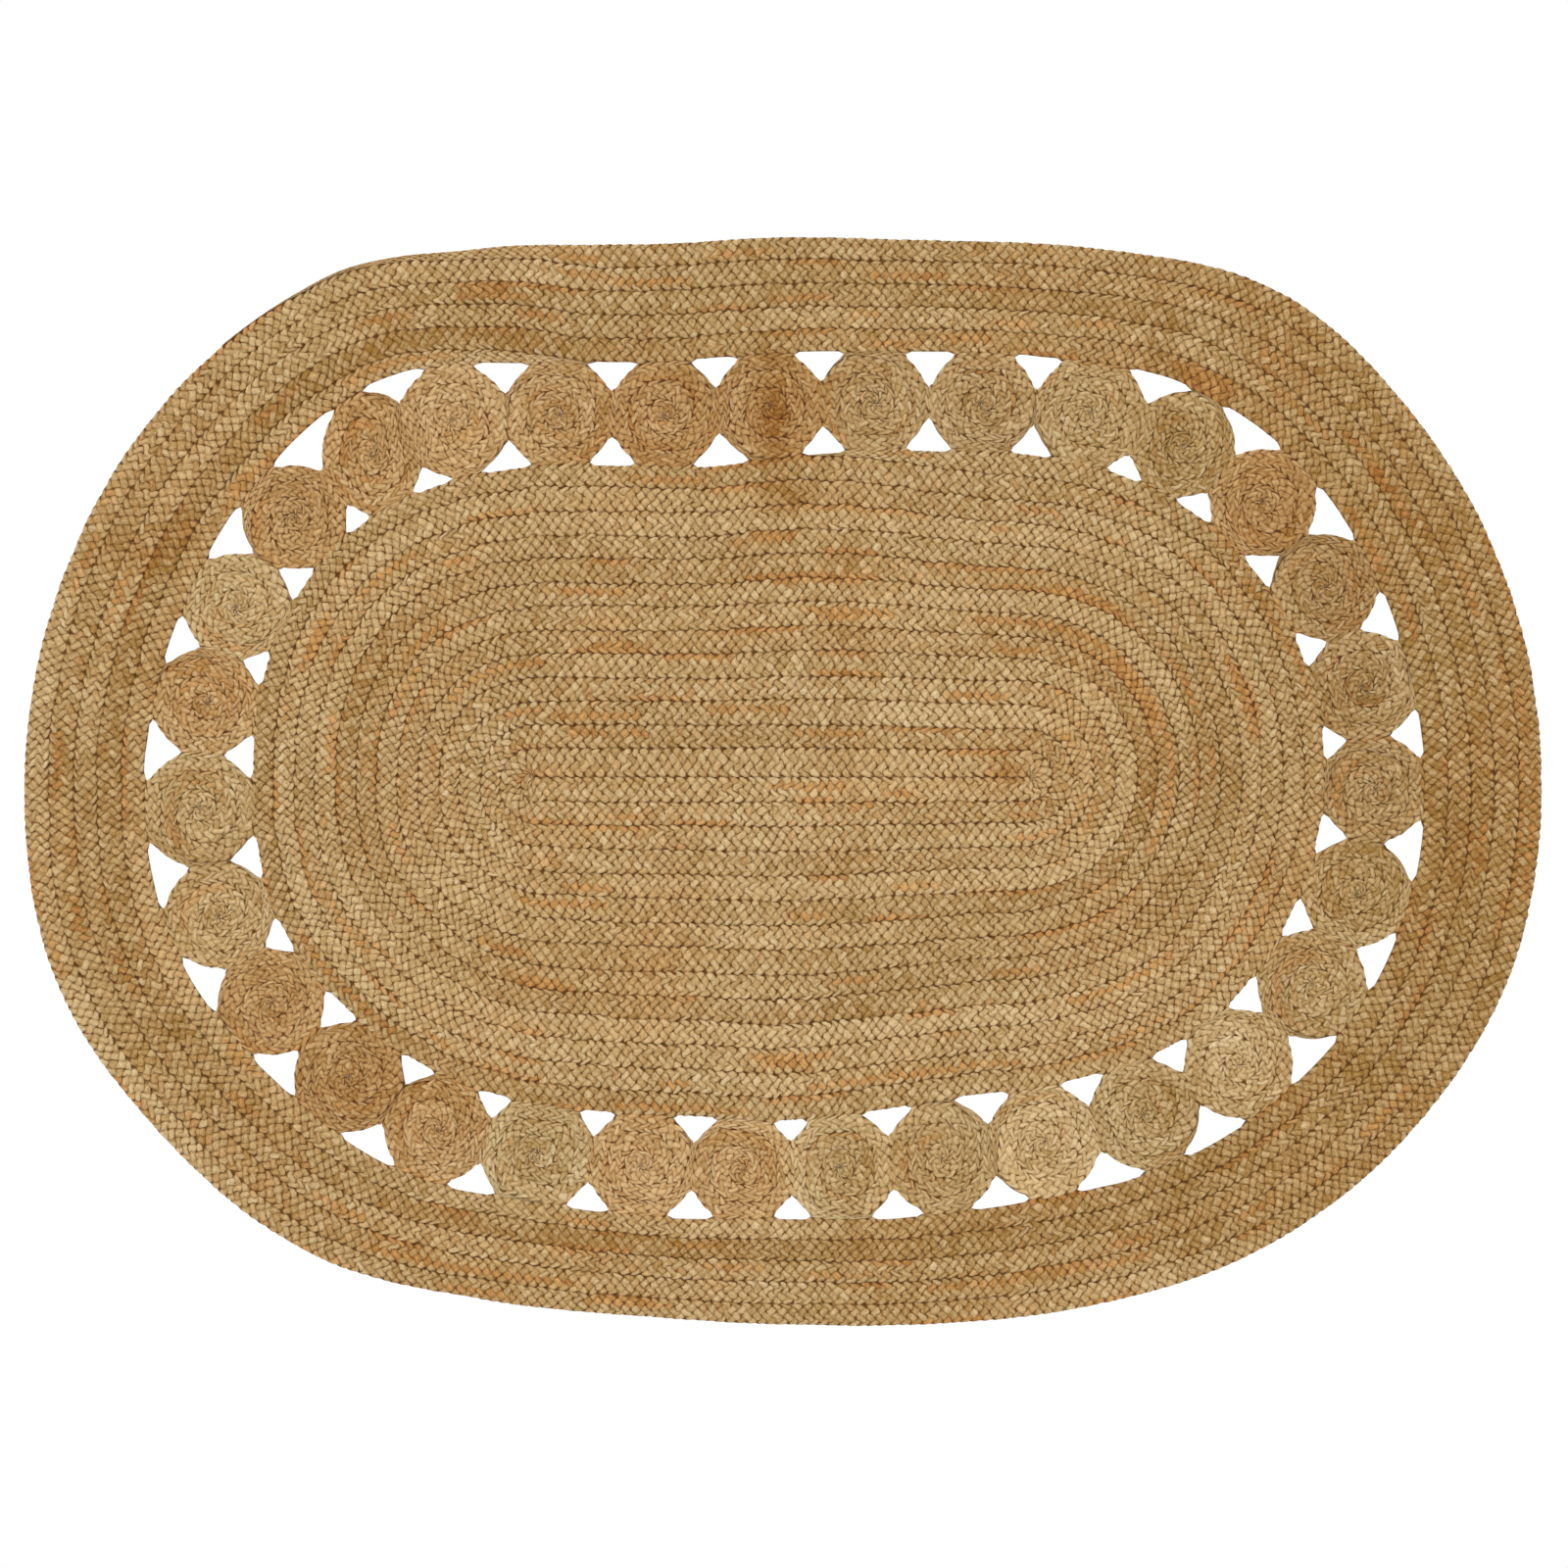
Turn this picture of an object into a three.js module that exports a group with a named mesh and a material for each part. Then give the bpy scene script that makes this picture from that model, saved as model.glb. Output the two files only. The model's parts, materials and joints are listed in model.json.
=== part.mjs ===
// Oval braided jute rug: a coiled oval centre, a ring of coiled discs and a braided border.
// Millimetres, +Z up. The origin is on the floor under the middle of the rug, +X along its length.
import * as THREE from 'three';
import { mergeVertices } from 'three/addons/utils/BufferGeometryUtils.js';

// Braid sizes
const CROWN_HEIGHT = 9;
const SEAM_HEIGHT = 6;
const CENTRE_ROUNDS = 14;
const BORDER_ROUNDS = 5;
const DISC_ROUNDS = 3.5;
const DISC_RIBS = 2;
const SEWN_GAP = 0.3;

// Facets round each piece
const FLANK_FACETS = 14;
const END_FACETS = 14;
const BORDER_FACETS = 80;
const DISC_FACETS = 20;

// The first round of the centre is laid straight between these two ends
const CORE = { left: -279, right: 275, y: 5 };

// Distance of each outline from the rug's middle, at a bearing in degrees from +X towards +Y
const OUTLINES = [
  { bearing: 0, rim: 849, opening: 717, oval: 606 },
  { bearing: 15, rim: 841, opening: 706, oval: 596 },
  { bearing: 30, rim: 817, opening: 682, oval: 561 },
  { bearing: 45, rim: 779, opening: 630, oval: 498 },
  { bearing: 60, rim: 690, opening: 550, oval: 426 },
  { bearing: 75, rim: 628, opening: 498, oval: 383 },
  { bearing: 90, rim: 610, opening: 480, oval: 363 },
  { bearing: 105, rim: 623, opening: 487, oval: 365 },
  { bearing: 120, rim: 688, opening: 541, oval: 409 },
  { bearing: 135, rim: 770, opening: 636, oval: 486 },
  { bearing: 150, rim: 816, opening: 677, oval: 559 },
  { bearing: 165, rim: 840, opening: 701, oval: 591 },
  { bearing: 180, rim: 850, opening: 715, oval: 594 },
  { bearing: 195, rim: 845, opening: 706, oval: 587 },
  { bearing: 210, rim: 800, opening: 661, oval: 543 },
  { bearing: 225, rim: 748, opening: 613, oval: 487 },
  { bearing: 240, rim: 670, opening: 544, oval: 426 },
  { bearing: 255, rim: 620, opening: 505, oval: 388 },
  { bearing: 270, rim: 608, opening: 489, oval: 380 },
  { bearing: 285, rim: 629, opening: 505, oval: 382 },
  { bearing: 300, rim: 679, opening: 543, oval: 407 },
  { bearing: 315, rim: 746, opening: 607, oval: 471 },
  { bearing: 330, rim: 802, opening: 667, oval: 545 },
  { bearing: 345, rim: 842, opening: 707, oval: 586 },
];

// The corner of the rim where the border's braid ends: its bearing and spread in degrees, and its rise
const CORNER = { bearing: 129, spread: 5, rise: 8 };

// The coiled discs, in order round the ring: bearing, width before pressing, shade of jute, and for one
// that isn't round its height (along Y) as a multiple of its width
const DISCS = [
  { bearing: 9.4, across: 123, shade: 'dim' },
  { bearing: 19.8, across: 118, shade: 'dim' },
  { bearing: 30.2, across: 120, shade: 'brown' },
  { bearing: 40.2, across: 117, shade: 'plain' },
  { bearing: 50.3, across: 125, shade: 'plain' },
  { bearing: 62.3, across: 120, shade: 'dim' },
  { bearing: 76.6, across: 122, shade: 'dim' },
  { bearing: 92.1, across: 123, shade: 'brown' },
  { bearing: 107.9, across: 124, shade: 'brown' },
  { bearing: 121.4, across: 124, shade: 'golden' },
  { bearing: 132.4, across: 125, shade: 'golden' },
  { bearing: 141.4, across: 113, shade: 'golden', tall: 1.2 },
  { bearing: 151.6, across: 117, shade: 'brown' },
  { bearing: 162.2, across: 119, shade: 'plain' },
  { bearing: 172.2, across: 120, shade: 'golden' },
  { bearing: 182.7, across: 129, shade: 'plain' },
  { bearing: 193.3, across: 120, shade: 'straw' },
  { bearing: 203.3, across: 119, shade: 'brown' },
  { bearing: 214.2, across: 123, shade: 'brown' },
  { bearing: 225.1, across: 119, shade: 'golden' },
  { bearing: 236.5, across: 126, shade: 'plain' },
  { bearing: 249.7, across: 121, shade: 'golden' },
  { bearing: 264.0, across: 120, shade: 'golden' },
  { bearing: 278.5, across: 123, shade: 'plain' },
  { bearing: 292.8, across: 126, shade: 'plain' },
  { bearing: 305.8, across: 126, shade: 'straw' },
  { bearing: 317.3, across: 122, shade: 'plain' },
  { bearing: 328.2, across: 122, shade: 'straw' },
  { bearing: 339.0, across: 122, shade: 'plain' },
  { bearing: 349.0, across: 121, shade: 'plain' },
  { bearing: 359.3, across: 120, shade: 'dim' },
];

// Soft creases left by packing: a trough along each line, deepest on the line
const CREASES = [
  { fromX: -10, fromY: 480, toX: 0, toY: 310, depth: 1.5 },
  { fromX: 72, fromY: 230, toX: 72, toY: -505, depth: 1.5 },
  { fromX: 428, fromY: 555, toX: 428, toY: 325, depth: 1.5 },
  { fromX: 440, fromY: -115, toX: 455, toY: -540, depth: 1.5 },
  { fromX: -285, fromY: 230, toX: -285, toY: 60, depth: 1.0 },
  { fromX: -795, fromY: 260, toX: -680, toY: 260, depth: 1.5 },
  { fromX: -756, fromY: -282, toX: -646, toY: -282, depth: 1.5 },
  { fromX: -495, fromY: 558, toX: -445, toY: 510, depth: 1.5 },
];
const CREASE_HALF_WIDTH = 26;

const JUTE = { roughness: 0.9, metalness: 0 };
const SHADES = { plain: 0xad8a5a, dim: 0xa48354, straw: 0xb69567, golden: 0xb08a57, brown: 0xa87d4b };

// Corners nearer together than this are one corner
const WELD_DISTANCE = 0.001;
// Halvings that find where a ray meets an outline
const HALVINGS = 40;
// A side of the opening presses a disc whose middle lies beside it, or this many side lengths past its end
const PRESS_OVERHANG = 1.5;

const up = (x, y, z) => new THREE.Vector3(x, y, z);
const flat = (angle) => new THREE.Vector2(Math.cos(angle), Math.sin(angle));
const radians = THREE.MathUtils.degToRad;

// Radius of an outline at an angle: a smooth cubic curve through the rows of the table, and on the rim
// the bell curve of its corner
function radiusAt(angle, outline) {
  const turn = THREE.MathUtils.euclideanModulo(angle / (2 * Math.PI), 1);
  const place = turn * OUTLINES.length;
  const row = Math.floor(place);
  const [a, b, c, d] = [-1, 0, 1, 2].map((step) => OUTLINES.at((row + step) % OUTLINES.length)[outline]);
  const f = place - row;
  const bend = 3 * b - a - 3 * c + d;
  const curve = 0.5 * (2 * b + f * (c - a + f * (2 * a - 5 * b + 4 * c - d + f * bend)));
  const away = (turn * 360 - CORNER.bearing) / CORNER.spread;
  return outline === 'rim' ? curve + CORNER.rise * Math.exp(-away * away) : curve;
}

// Point of an outline at an angle
const outlinePoint = (angle, outline) => flat(angle).multiplyScalar(radiusAt(angle, outline));

// Where a ray from inside an outline meets it, found by halving
function meet(foot, direction, outline) {
  let near = 0;
  let far = OUTLINES[0].rim;
  for (let halving = 0; halving < HALVINGS; halving += 1) {
    const middle = (near + far) / 2;
    const point = foot.clone().addScaledVector(direction, middle);
    const inside = point.length() < radiusAt(point.angle(), outline);
    near = inside ? middle : near;
    far = inside ? far : middle;
  }
  return foot.clone().addScaledVector(direction, near);
}

// Depth of the packing creases at a point
function creaseDepth(point) {
  let depth = 0;
  for (const crease of CREASES) {
    const from = new THREE.Vector2(crease.fromX, crease.fromY);
    const along = new THREE.Vector2(crease.toX, crease.toY).sub(from);
    const offset = point.clone().sub(from);
    const share = THREE.MathUtils.clamp(offset.dot(along) / along.lengthSq(), 0, 1);
    const away = offset.distanceTo(along.multiplyScalar(share)) / CREASE_HALF_WIDTH;
    depth += crease.depth * Math.exp(-away * away);
  }
  return depth;
}

// Points of one closed loop, each a share of the way from its inner to its outer end
function loopAt(spokes, share, height) {
  return spokes.map(({ inner, outer }) => {
    const point = inner.clone().lerp(outer, share);
    return up(point.x, point.y, height > 0 ? height - creaseDepth(point) : 0);
  });
}

// Loops over the top, from the outer edge inwards: a low seam, then a crown and a seam for each rib.
// A heart is the raised middle that the ribs of a disc close round.
function ribbedLoops(spokes, rounds, ribs, hasHeart) {
  const loops = [loopAt(spokes, 1, SEAM_HEIGHT)];
  for (let rib = 0; rib < ribs; rib += 1) {
    loops.push(loopAt(spokes, 1 - (rib + 0.5) / rounds, CROWN_HEIGHT));
    loops.push(loopAt(spokes, 1 - (rib + 1) / rounds, SEAM_HEIGHT));
  }
  if (hasHeart) loops.push(loopAt(spokes, 0, CROWN_HEIGHT));
  return loops;
}

// Closed skin over successive loops of equal length. A loop may shrink to a line or a point,
// and in a ring the last loop joins the first.
function skin(loops, isRing) {
  const count = loops[0].length;
  const bands = isRing ? loops.length : loops.length - 1;
  const corners = [];
  for (let band = 0; band < bands; band += 1) {
    const low = loops[band];
    const high = loops[(band + 1) % loops.length];
    for (let i = 0; i < count; i += 1) {
      const next = (i + 1) % count;
      corners.push([low[i], low[next], high[next]], [low[i], high[next], high[i]]);
    }
  }
  const solid = new THREE.BufferGeometry().setFromPoints(corners.flat());
  const merged = mergeVertices(solid, WELD_DISTANCE);
  const index = Array.from(merged.index.array);
  const kept = [];
  for (let i = 0; i < index.length; i += 3) {
    const [a, b, c] = index.slice(i, i + 3);
    if (a !== b && b !== c && c !== a) kept.push(a, b, c);
  }
  merged.setIndex(kept);
  merged.computeVertexNormals();
  return merged;
}

// A named piece in its shade of jute
function piece(name, geometry, shade) {
  const material = new THREE.MeshStandardMaterial({ ...JUTE, color: SHADES[shade] });
  const mesh = new THREE.Mesh(geometry, material);
  mesh.name = name;
  return mesh;
}

// Spokes of the centre: fans about both ends of the straight first round, and straight ones between
function centreSpokes() {
  const spokes = [];
  const right = new THREE.Vector2(CORE.right, CORE.y);
  const left = new THREE.Vector2(CORE.left, CORE.y);
  const addSide = (from, to, turn) => {
    for (let i = 0; i < END_FACETS; i += 1) {
      const direction = flat(turn + (Math.PI * i) / END_FACETS);
      spokes.push({ inner: from, outer: meet(from, direction, 'oval') });
    }
    for (let i = 0; i < FLANK_FACETS; i += 1) {
      const foot = from.clone().lerp(to, i / FLANK_FACETS);
      spokes.push({ inner: foot, outer: meet(foot, flat(turn + Math.PI), 'oval') });
    }
  };
  addSide(right, left, -Math.PI / 2);
  addSide(left, right, Math.PI / 2);
  return spokes;
}

// Spokes of the border, from its opening to its rim
function borderSpokes() {
  return Array.from({ length: BORDER_FACETS }, (unused, i) => {
    const angle = (2 * Math.PI * i) / BORDER_FACETS;
    return { inner: outlinePoint(angle, 'opening'), outer: outlinePoint(angle, 'rim') };
  });
}

// Middle and radius of each disc, half way between the oval and the opening
function discCircles() {
  return DISCS.map(({ bearing, across, tall = 1 }) => {
    const angle = radians(bearing);
    const reach = (radiusAt(angle, 'oval') + radiusAt(angle, 'opening')) / 2;
    return { middle: flat(angle).multiplyScalar(reach), radius: across / 2, tall };
  });
}

// Straight presses that flatten a disc: against a neighbour, the oval, or a side of the opening
function neighbourPress(disc, other) {
  const toOther = other.middle.clone().sub(disc.middle);
  const apart = toOther.length();
  const share = (apart ** 2 + disc.radius ** 2 - other.radius ** 2) / (2 * apart);
  return { normal: toOther.normalize(), reach: share - SEWN_GAP / 2 };
}

function ovalPress(disc, oval) {
  const offsets = oval.map((corner) => corner.clone().sub(disc.middle));
  const sides = offsets.map((from, i) => {
    const along = offsets[(i + 1) % offsets.length].clone().sub(from);
    const share = THREE.MathUtils.clamp(-from.dot(along) / along.lengthSq(), 0, 1);
    return from.clone().addScaledVector(along, share);
  });
  const nearest = sides.reduce((best, side) => (side.length() < best.length() ? side : best));
  return { normal: nearest.clone().normalize(), reach: nearest.length() - SEWN_GAP };
}

function openingPresses(disc, opening) {
  const presses = [];
  opening.forEach((corner, i) => {
    const along = opening[(i + 1) % opening.length].clone().sub(corner);
    const normal = new THREE.Vector2(along.y, -along.x).normalize();
    const reach = corner.clone().sub(disc.middle).dot(normal) - SEWN_GAP;
    const share = disc.middle.clone().sub(corner).dot(along) / along.lengthSq();
    const isBeside = share > -PRESS_OVERHANG && share < 1 + PRESS_OVERHANG;
    if (isBeside) presses.push({ normal, reach });
  });
  return presses;
}

// Spokes of a disc: a circle or ellipse, cut back wherever a press stands nearer than its edge
function discSpokes(disc, presses, firstAngle) {
  return Array.from({ length: DISC_FACETS }, (unused, i) => {
    const direction = flat(firstAngle + (2 * Math.PI * i) / DISC_FACETS);
    let reach = disc.radius / Math.hypot(direction.x, direction.y / disc.tall);
    for (const press of presses) {
      const facing = direction.dot(press.normal);
      if (facing > 0) reach = Math.min(reach, press.reach / facing);
    }
    return { inner: disc.middle, outer: disc.middle.clone().addScaledVector(direction, reach) };
  });
}

function makeCentre(spokes) {
  const bottom = [0, 0.5, 1].map((share) => loopAt(spokes, share, 0));
  const top = ribbedLoops(spokes, CENTRE_ROUNDS, CENTRE_ROUNDS, false);
  return piece('centre_oval', skin([...bottom, ...top], false), 'plain');
}

function makeBorder(spokes) {
  const bottom = [0, 1].map((share) => loopAt(spokes, share, 0));
  const top = ribbedLoops(spokes, BORDER_ROUNDS, BORDER_ROUNDS, false);
  return piece('border', skin([...bottom, ...top], true), 'plain');
}

function makeDiscs(oval, opening) {
  const circles = discCircles();
  return circles.map((disc, i) => {
    const before = circles.at(i - 1);
    const after = circles[(i + 1) % circles.length];
    const towardsOval = ovalPress(disc, oval);
    const presses = [
      neighbourPress(disc, before),
      neighbourPress(disc, after),
      towardsOval,
      ...openingPresses(disc, opening),
    ];
    const spokes = discSpokes(disc, presses, towardsOval.normal.angle());
    const bottom = [0, 1].map((share) => loopAt(spokes, share, 0));
    const top = ribbedLoops(spokes, DISC_ROUNDS, DISC_RIBS, true);
    const name = `disc_${String(i + 1).padStart(2, '0')}`;
    return piece(name, skin([...bottom, ...top], false), DISCS[i].shade);
  });
}

const centre = centreSpokes();
const border = borderSpokes();
const ovalCorners = centre.map((spoke) => spoke.outer);
const openingCorners = border.map((spoke) => spoke.inner);

const rug = new THREE.Group();
rug.add(makeCentre(centre), makeBorder(border), ...makeDiscs(ovalCorners, openingCorners));

export default rug;
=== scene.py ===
"""Looks of an oval jute rug: coils of braid laid by formula over the frame's centre, discs and border.

Metres, +Z up. A coil is one long flat braid. It goes round between an inner and an outer curve, which
come from the frame, and its strands are raised in the mesh, petal by petal.
"""
import json

import bpy
import numpy as np
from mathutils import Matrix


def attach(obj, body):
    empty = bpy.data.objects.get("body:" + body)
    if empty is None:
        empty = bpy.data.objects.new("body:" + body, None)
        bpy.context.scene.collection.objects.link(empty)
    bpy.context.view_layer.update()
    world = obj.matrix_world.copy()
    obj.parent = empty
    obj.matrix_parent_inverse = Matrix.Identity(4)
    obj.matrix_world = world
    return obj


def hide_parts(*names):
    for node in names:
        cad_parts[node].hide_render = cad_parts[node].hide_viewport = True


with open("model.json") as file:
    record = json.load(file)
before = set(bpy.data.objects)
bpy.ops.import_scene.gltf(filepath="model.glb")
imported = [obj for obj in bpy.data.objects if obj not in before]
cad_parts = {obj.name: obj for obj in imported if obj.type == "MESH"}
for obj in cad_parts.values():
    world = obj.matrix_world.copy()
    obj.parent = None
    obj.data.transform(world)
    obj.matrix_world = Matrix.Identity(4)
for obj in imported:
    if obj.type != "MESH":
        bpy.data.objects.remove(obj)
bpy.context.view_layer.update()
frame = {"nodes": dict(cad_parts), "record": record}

# Ends of the straight first round of the centre, as in the frame
CORE_LEFT = np.array((-0.279, 0.005))
CORE_RIGHT = np.array((0.275, 0.005))

# The wide braid of the centre and the border, and the narrow one of the discs, both of five strands. Petals
# stand in columns, each a few rows of vertices wide. A braid's pit is the height of its pits, and its lean
# is how many half steps a row trails the next one along a petal. Its sink is how far its edges press into
# their neighbours, its crevice shade is how dark the painted shade in the lines between its petals is, and
# rusty how rusty it is.
WIDE = {
    "columns": 4, "rows": 4, "pitch": 0.0115, "width": 0.0265, "pit": 0.0062, "lean": 0.5,
    "sink": 0.00010, "crevice_shade": 1.35, "rusty": 1.05,
}
NARROW = {
    "columns": 4, "rows": 4, "pitch": 0.0136, "width": 0.0193, "pit": 0.0070, "lean": 0.95,
    "sink": 0.00015, "crevice_shade": 1.1, "rusty": 0.6,
}

# How each coil is laid: its whole turns and the share of a turn at its end, how much of each step outwards
# it makes evenly in its first turn and later, the shares of a turn in which it makes the rest and in which
# its tail runs out, and the turns that the tongue before its start takes
CENTRE_COIL = {
    "whole_turns": 13, "end": 0.6285, "first_drift": 0.0, "drift": 0.3,
    "step_zone": 0.25, "tail_zone": 0.12, "tongue": 0.2,
}
BORDER_COIL = {
    "whole_turns": 4, "end": 1.0, "first_drift": 0.0, "drift": 0.0,
    "step_zone": 0.09, "tail_zone": 0.09, "tongue": 0.08,
}
DISC_COIL = {
    "whole_turns": 2, "end": 0.75, "first_drift": 1.0, "drift": 1.0,
    "step_zone": 0.5, "tail_zone": 0.4, "tongue": 0.97,
}
# Share of a turn at which the border starts and ends, at its upper left, and the bearing in radians by which
# each disc's coil starts further round than that of the disc before it
BORDER_START = 0.80
DISC_TURN = 2.4
# Seeds of the chances of each coil and of the waves of shade. A disc's number is added to its seed.
CENTRE_SEED = 11
BORDER_SEED = 12
DISC_SEED = 100
WAVE_SEED = 40

# Heights on the braid: its crowns, the seam at its edges, and the foot of its sides
CROWN = 0.0090
EDGE = 0.0082
FLANK = 0.0030
# Share of the half width that the sole stands in
SOLE_INSET = 0.24
# Between two petals a free edge is pulled in by this share of the half width, and by chance by up to
# this much more. By chance a petal stands this much higher or lower.
SCALLOP = 0.13
RUFFLE = 0.08
LIFT = 0.00045
# A valley between petals rises to this share of the relief
SADDLE = 0.40
# Powers in the shape of a petal, across and along its strand, and of the roll over a braid's edges
ACROSS_POWER = 3
ALONG_POWER = 3.5
ROLL_POWER = 9
# Where a braid is narrower than this share of a round its pits are shallower, but keep this much of their
# depth. Chance makes them deeper or shallower by this share.
FULL_WIDTH = 0.8
LEAST_DEPTH = 0.15
PIT_CHANCE = 0.15
# How much deeper in shade the seams between rounds lie, and how much more so where the yarn is darker
SEAM = 0.26
SEAM_CHANGE = 0.8
# Slow sway and quick wiggle of the seams, in rounds
SWAY = 0.03
WIGGLE = 0.022
# Half the gap between the two sides of the centre's first row, and how far the strands of a disc's first
# round cross at its heart
HEART_GAP = 0.00006
HEART_CROSSING = 0.0010
# Two outlines are pressed together where the gap between them is less than snug, and stay as they are
# where it is more than open. Pressed edges overlap by the lap.
SNUG = 0.0042
OPEN = 0.0078
LAP = 0.0004
# Chance shift of each vertex of a top, as a share of a column's width, and its most
SHIFT = 0.075
MOST_SHIFT = 0.12
# Chance shift of the petals of a column along it, in half steps
SLIDE = 1.3
# Side of a braid along which its pitch is measured, from 0 at its middle to 1 on its outer edge
GAUGE_SIDE = 0.6
# How much of the way across a braid follows a sine, which turns the strands along its edges
EDGE_TURN = 0.20
# Half steps by which the lattice of petals is moved along the braid
LATTICE_START = 2
# A coil whose inner curve reaches further than this is a ring. Its inner edge lies open for this share of
# its first turn.
RING_LENGTH = 1.0
INNER_EDGE_END = 0.9

# How far apart the chances that wander along a coil are drawn: sway and ring tone in turns, the others in
# metres. A mean round is this share of the outer curve.
SPACING = {
    "sway": 0.11, "wiggle": 0.014, "swell": 0.07, "slide": 0.020, "ruffle": 0.035,
    "strand_tone": 0.20, "round_tone": 0.40, "ring_tone": 0.45,
    "strand_rust": 0.35, "run_rust": 0.09, "run_pale": 0.12,
}
MEAN_ROUND = 0.7
# Petals with a chance of their own, the most of it, and how far the chances of neighbours lie apart
PETALS_DRAWN = 4096
MOST_CHANCE = 2
STRIDES = (73, 151)

# Samples of a turn on the large coils, on a disc and where a coil is measured
TURN_SAMPLES = 2880
DISC_SAMPLES = 360
GAUGE_SAMPLES = 720
# Halvings in finding where a ray meets a loop, and stretches of an outline that are compared by themselves
HALVINGS = 32
STRETCHES = 30
# Digits to which places in metres and bearings in radians from the frame are read
PLACE_DIGITS = 5
BEARING_DIGITS = 3

# Packing creases, as in the frame: a trough along each line
CREASES = [
    {"start": (-0.010, 0.480), "end": (0.000, 0.310), "depth": 0.0015},
    {"start": (0.072, 0.230), "end": (0.072, -0.505), "depth": 0.0015},
    {"start": (0.428, 0.555), "end": (0.428, 0.325), "depth": 0.0015},
    {"start": (0.440, -0.115), "end": (0.455, -0.540), "depth": 0.0015},
    {"start": (-0.285, 0.230), "end": (-0.285, 0.060), "depth": 0.0010},
    {"start": (-0.795, 0.260), "end": (-0.680, 0.260), "depth": 0.0015},
    {"start": (-0.756, -0.282), "end": (-0.646, -0.282), "depth": 0.0015},
    {"start": (-0.495, 0.558), "end": (-0.445, 0.510), "depth": 0.0015},
]
CREASE_HALF_WIDTH = 0.026
# How much a crease darkens the yarn for each metre of its depth, as painted shade in its trough
CREASE_SHADE = 70

# Uneven places: where they are, how far they reach, and how light and how rusty they are. The first is
# painted shade, with some rust, where the centre's braid ends tucked under at its top.
SPOTS = [
    {"middle": (0.012, 0.320), "reach": (0.030, 0.014), "tone": -0.24, "rust": 0.2},
    {"middle": (-0.010, 0.405), "reach": (0.018, 0.060), "tone": -0.22, "rust": 0.2},
    {"middle": (0.248, 0.010), "reach": (0.020, 0.016), "tone": -0.24, "rust": 0.6},
    {"middle": (0.757, -0.110), "reach": (0.022, 0.070), "tone": -0.20, "rust": 0.1},
    {"middle": (0.538, -0.100), "reach": (0.018, 0.022), "tone": -0.18, "rust": 0.2},
    {"middle": (0.208, -0.496), "reach": (0.040, 0.016), "tone": -0.15, "rust": 0.2},
    {"middle": (0.647, -0.322), "reach": (0.030, 0.025), "tone": -0.14, "rust": 0.1},
    {"middle": (0.735, 0.270), "reach": (0.025, 0.035), "tone": -0.14, "rust": 0.1},
    {"middle": (-0.720, 0.250), "reach": (0.040, 0.020), "tone": -0.05, "rust": 0.4},
    {"middle": (-0.054, -0.244), "reach": (0.100, 0.022), "tone": 0.14, "rust": 0.0},
    {"middle": (0.494, -0.288), "reach": (0.045, 0.030), "tone": 0.12, "rust": 0.0},
    {"middle": (-0.530, 0.080), "reach": (0.020, 0.060), "tone": 0.10, "rust": 0.0},
    {"middle": (-0.080, -0.520), "reach": (0.450, 0.080), "tone": 0.09, "rust": 0.0},
]

# Half the length and width of a strand in a petal, and how much further a petal's fibres are moved on across
# the strand than along it
STRAND_HALF_LENGTH = 0.0062
STRAND_HALF_WIDTH = 0.0029
MOVED_ACROSS = 3
# Waves of shade over the rug: how many, and their least and greatest length
WAVES = 7
WAVE_LENGTHS = (0.12, 0.5)
# How much darker the yarn of the border is, and how much darker the colour grows towards the rug's right
# end, which starts at this X and is fully darker this much further on
BORDER_DARKER = 0.08
RIGHT_END_DARKER = 0.11
RIGHT_END = 0.25
RIGHT_END_EASE = 0.5
# Middle of the yarn's tone, rust and paleness, each 0 to 1, and how far each chance moves it. A run is rusty
# where its chance is over the start, and fully so the ease further on.
TONE = {"middle": 0.5, "ring": 0.05, "round": 0.045, "strand": 0.06, "petal": 0.10, "waves": 0.02}
RUST = {"middle": 0.10, "run": 0.9, "strand": 0.16, "waves": 0.08}
RUST_START = 0.9
RUST_EASE = 0.5
PALE = {"middle": 0.30, "run": 0.18, "waves": 0.10}

# The photograph is this wide on the floor, and centred here. Lens and sensor are in millimetres.
VIEW_WIDTH = 1.7538
VIEW_MIDDLE = (0.0005, -0.0027)
LENS = 100
SENSOR = 36

# Strength of the even light and the lamp, and the lamp's spread, tilt and turn in degrees
SKY = 0.80
LAMP = 0.9
LAMP_ANGLE = 25
LAMP_TILT = 38
LAMP_TURN = 200
# Side and level of the floor, and how far the camera sees
FLOOR_SIDE = 12
FLOOR_LEVEL = -0.0003
SIGHT = 100

# Middle colour of the petals in each finish, as it looks in the light, in sRGB steps of 255
SHADES = {
    "wide_braid": (197, 160, 97),
    "disc_plain": (197, 162, 100),
    "disc_dim": (188, 150, 87),
    "disc_straw": (201, 165, 103),
    "disc_golden": (198, 155, 89),
    "disc_brown": (190, 145, 77),
}
# How far the other colours of the same jute lie from it. Dark and bright bound its tone and fibres and the
# painted highlight and shade of its crowns and hollows; the hollow colour is the painted shade in crevices
# and hollows.
FROM_SHADE = {
    "Dark": (-44, -49, -54),
    "Bright": (26, 31, 40),
    "Pale": (8, 14, 19),
    "Rust": (-3, -21, -28),
    "Painted shade colour": (-88, -94, -88),
}
# Gloss and sheen of all the jute, and the depth and strength of its fine bump
SPECULAR = 0.3
SHEEN = 0.12
SHEEN_ROUGHNESS = 0.5
BUMP_DEPTH = 0.001
BUMP_STRENGTH = 0.8
# Fibres at two sizes: the pace of their pattern, its pace along the strand beside that, and their share
FIBRES_PER_METRE = 1500
FIBRES = [{"pace": 1.0, "along": 0.12, "share": 0.45}, {"pace": 0.30, "along": 0.45, "share": 0.55}]
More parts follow.
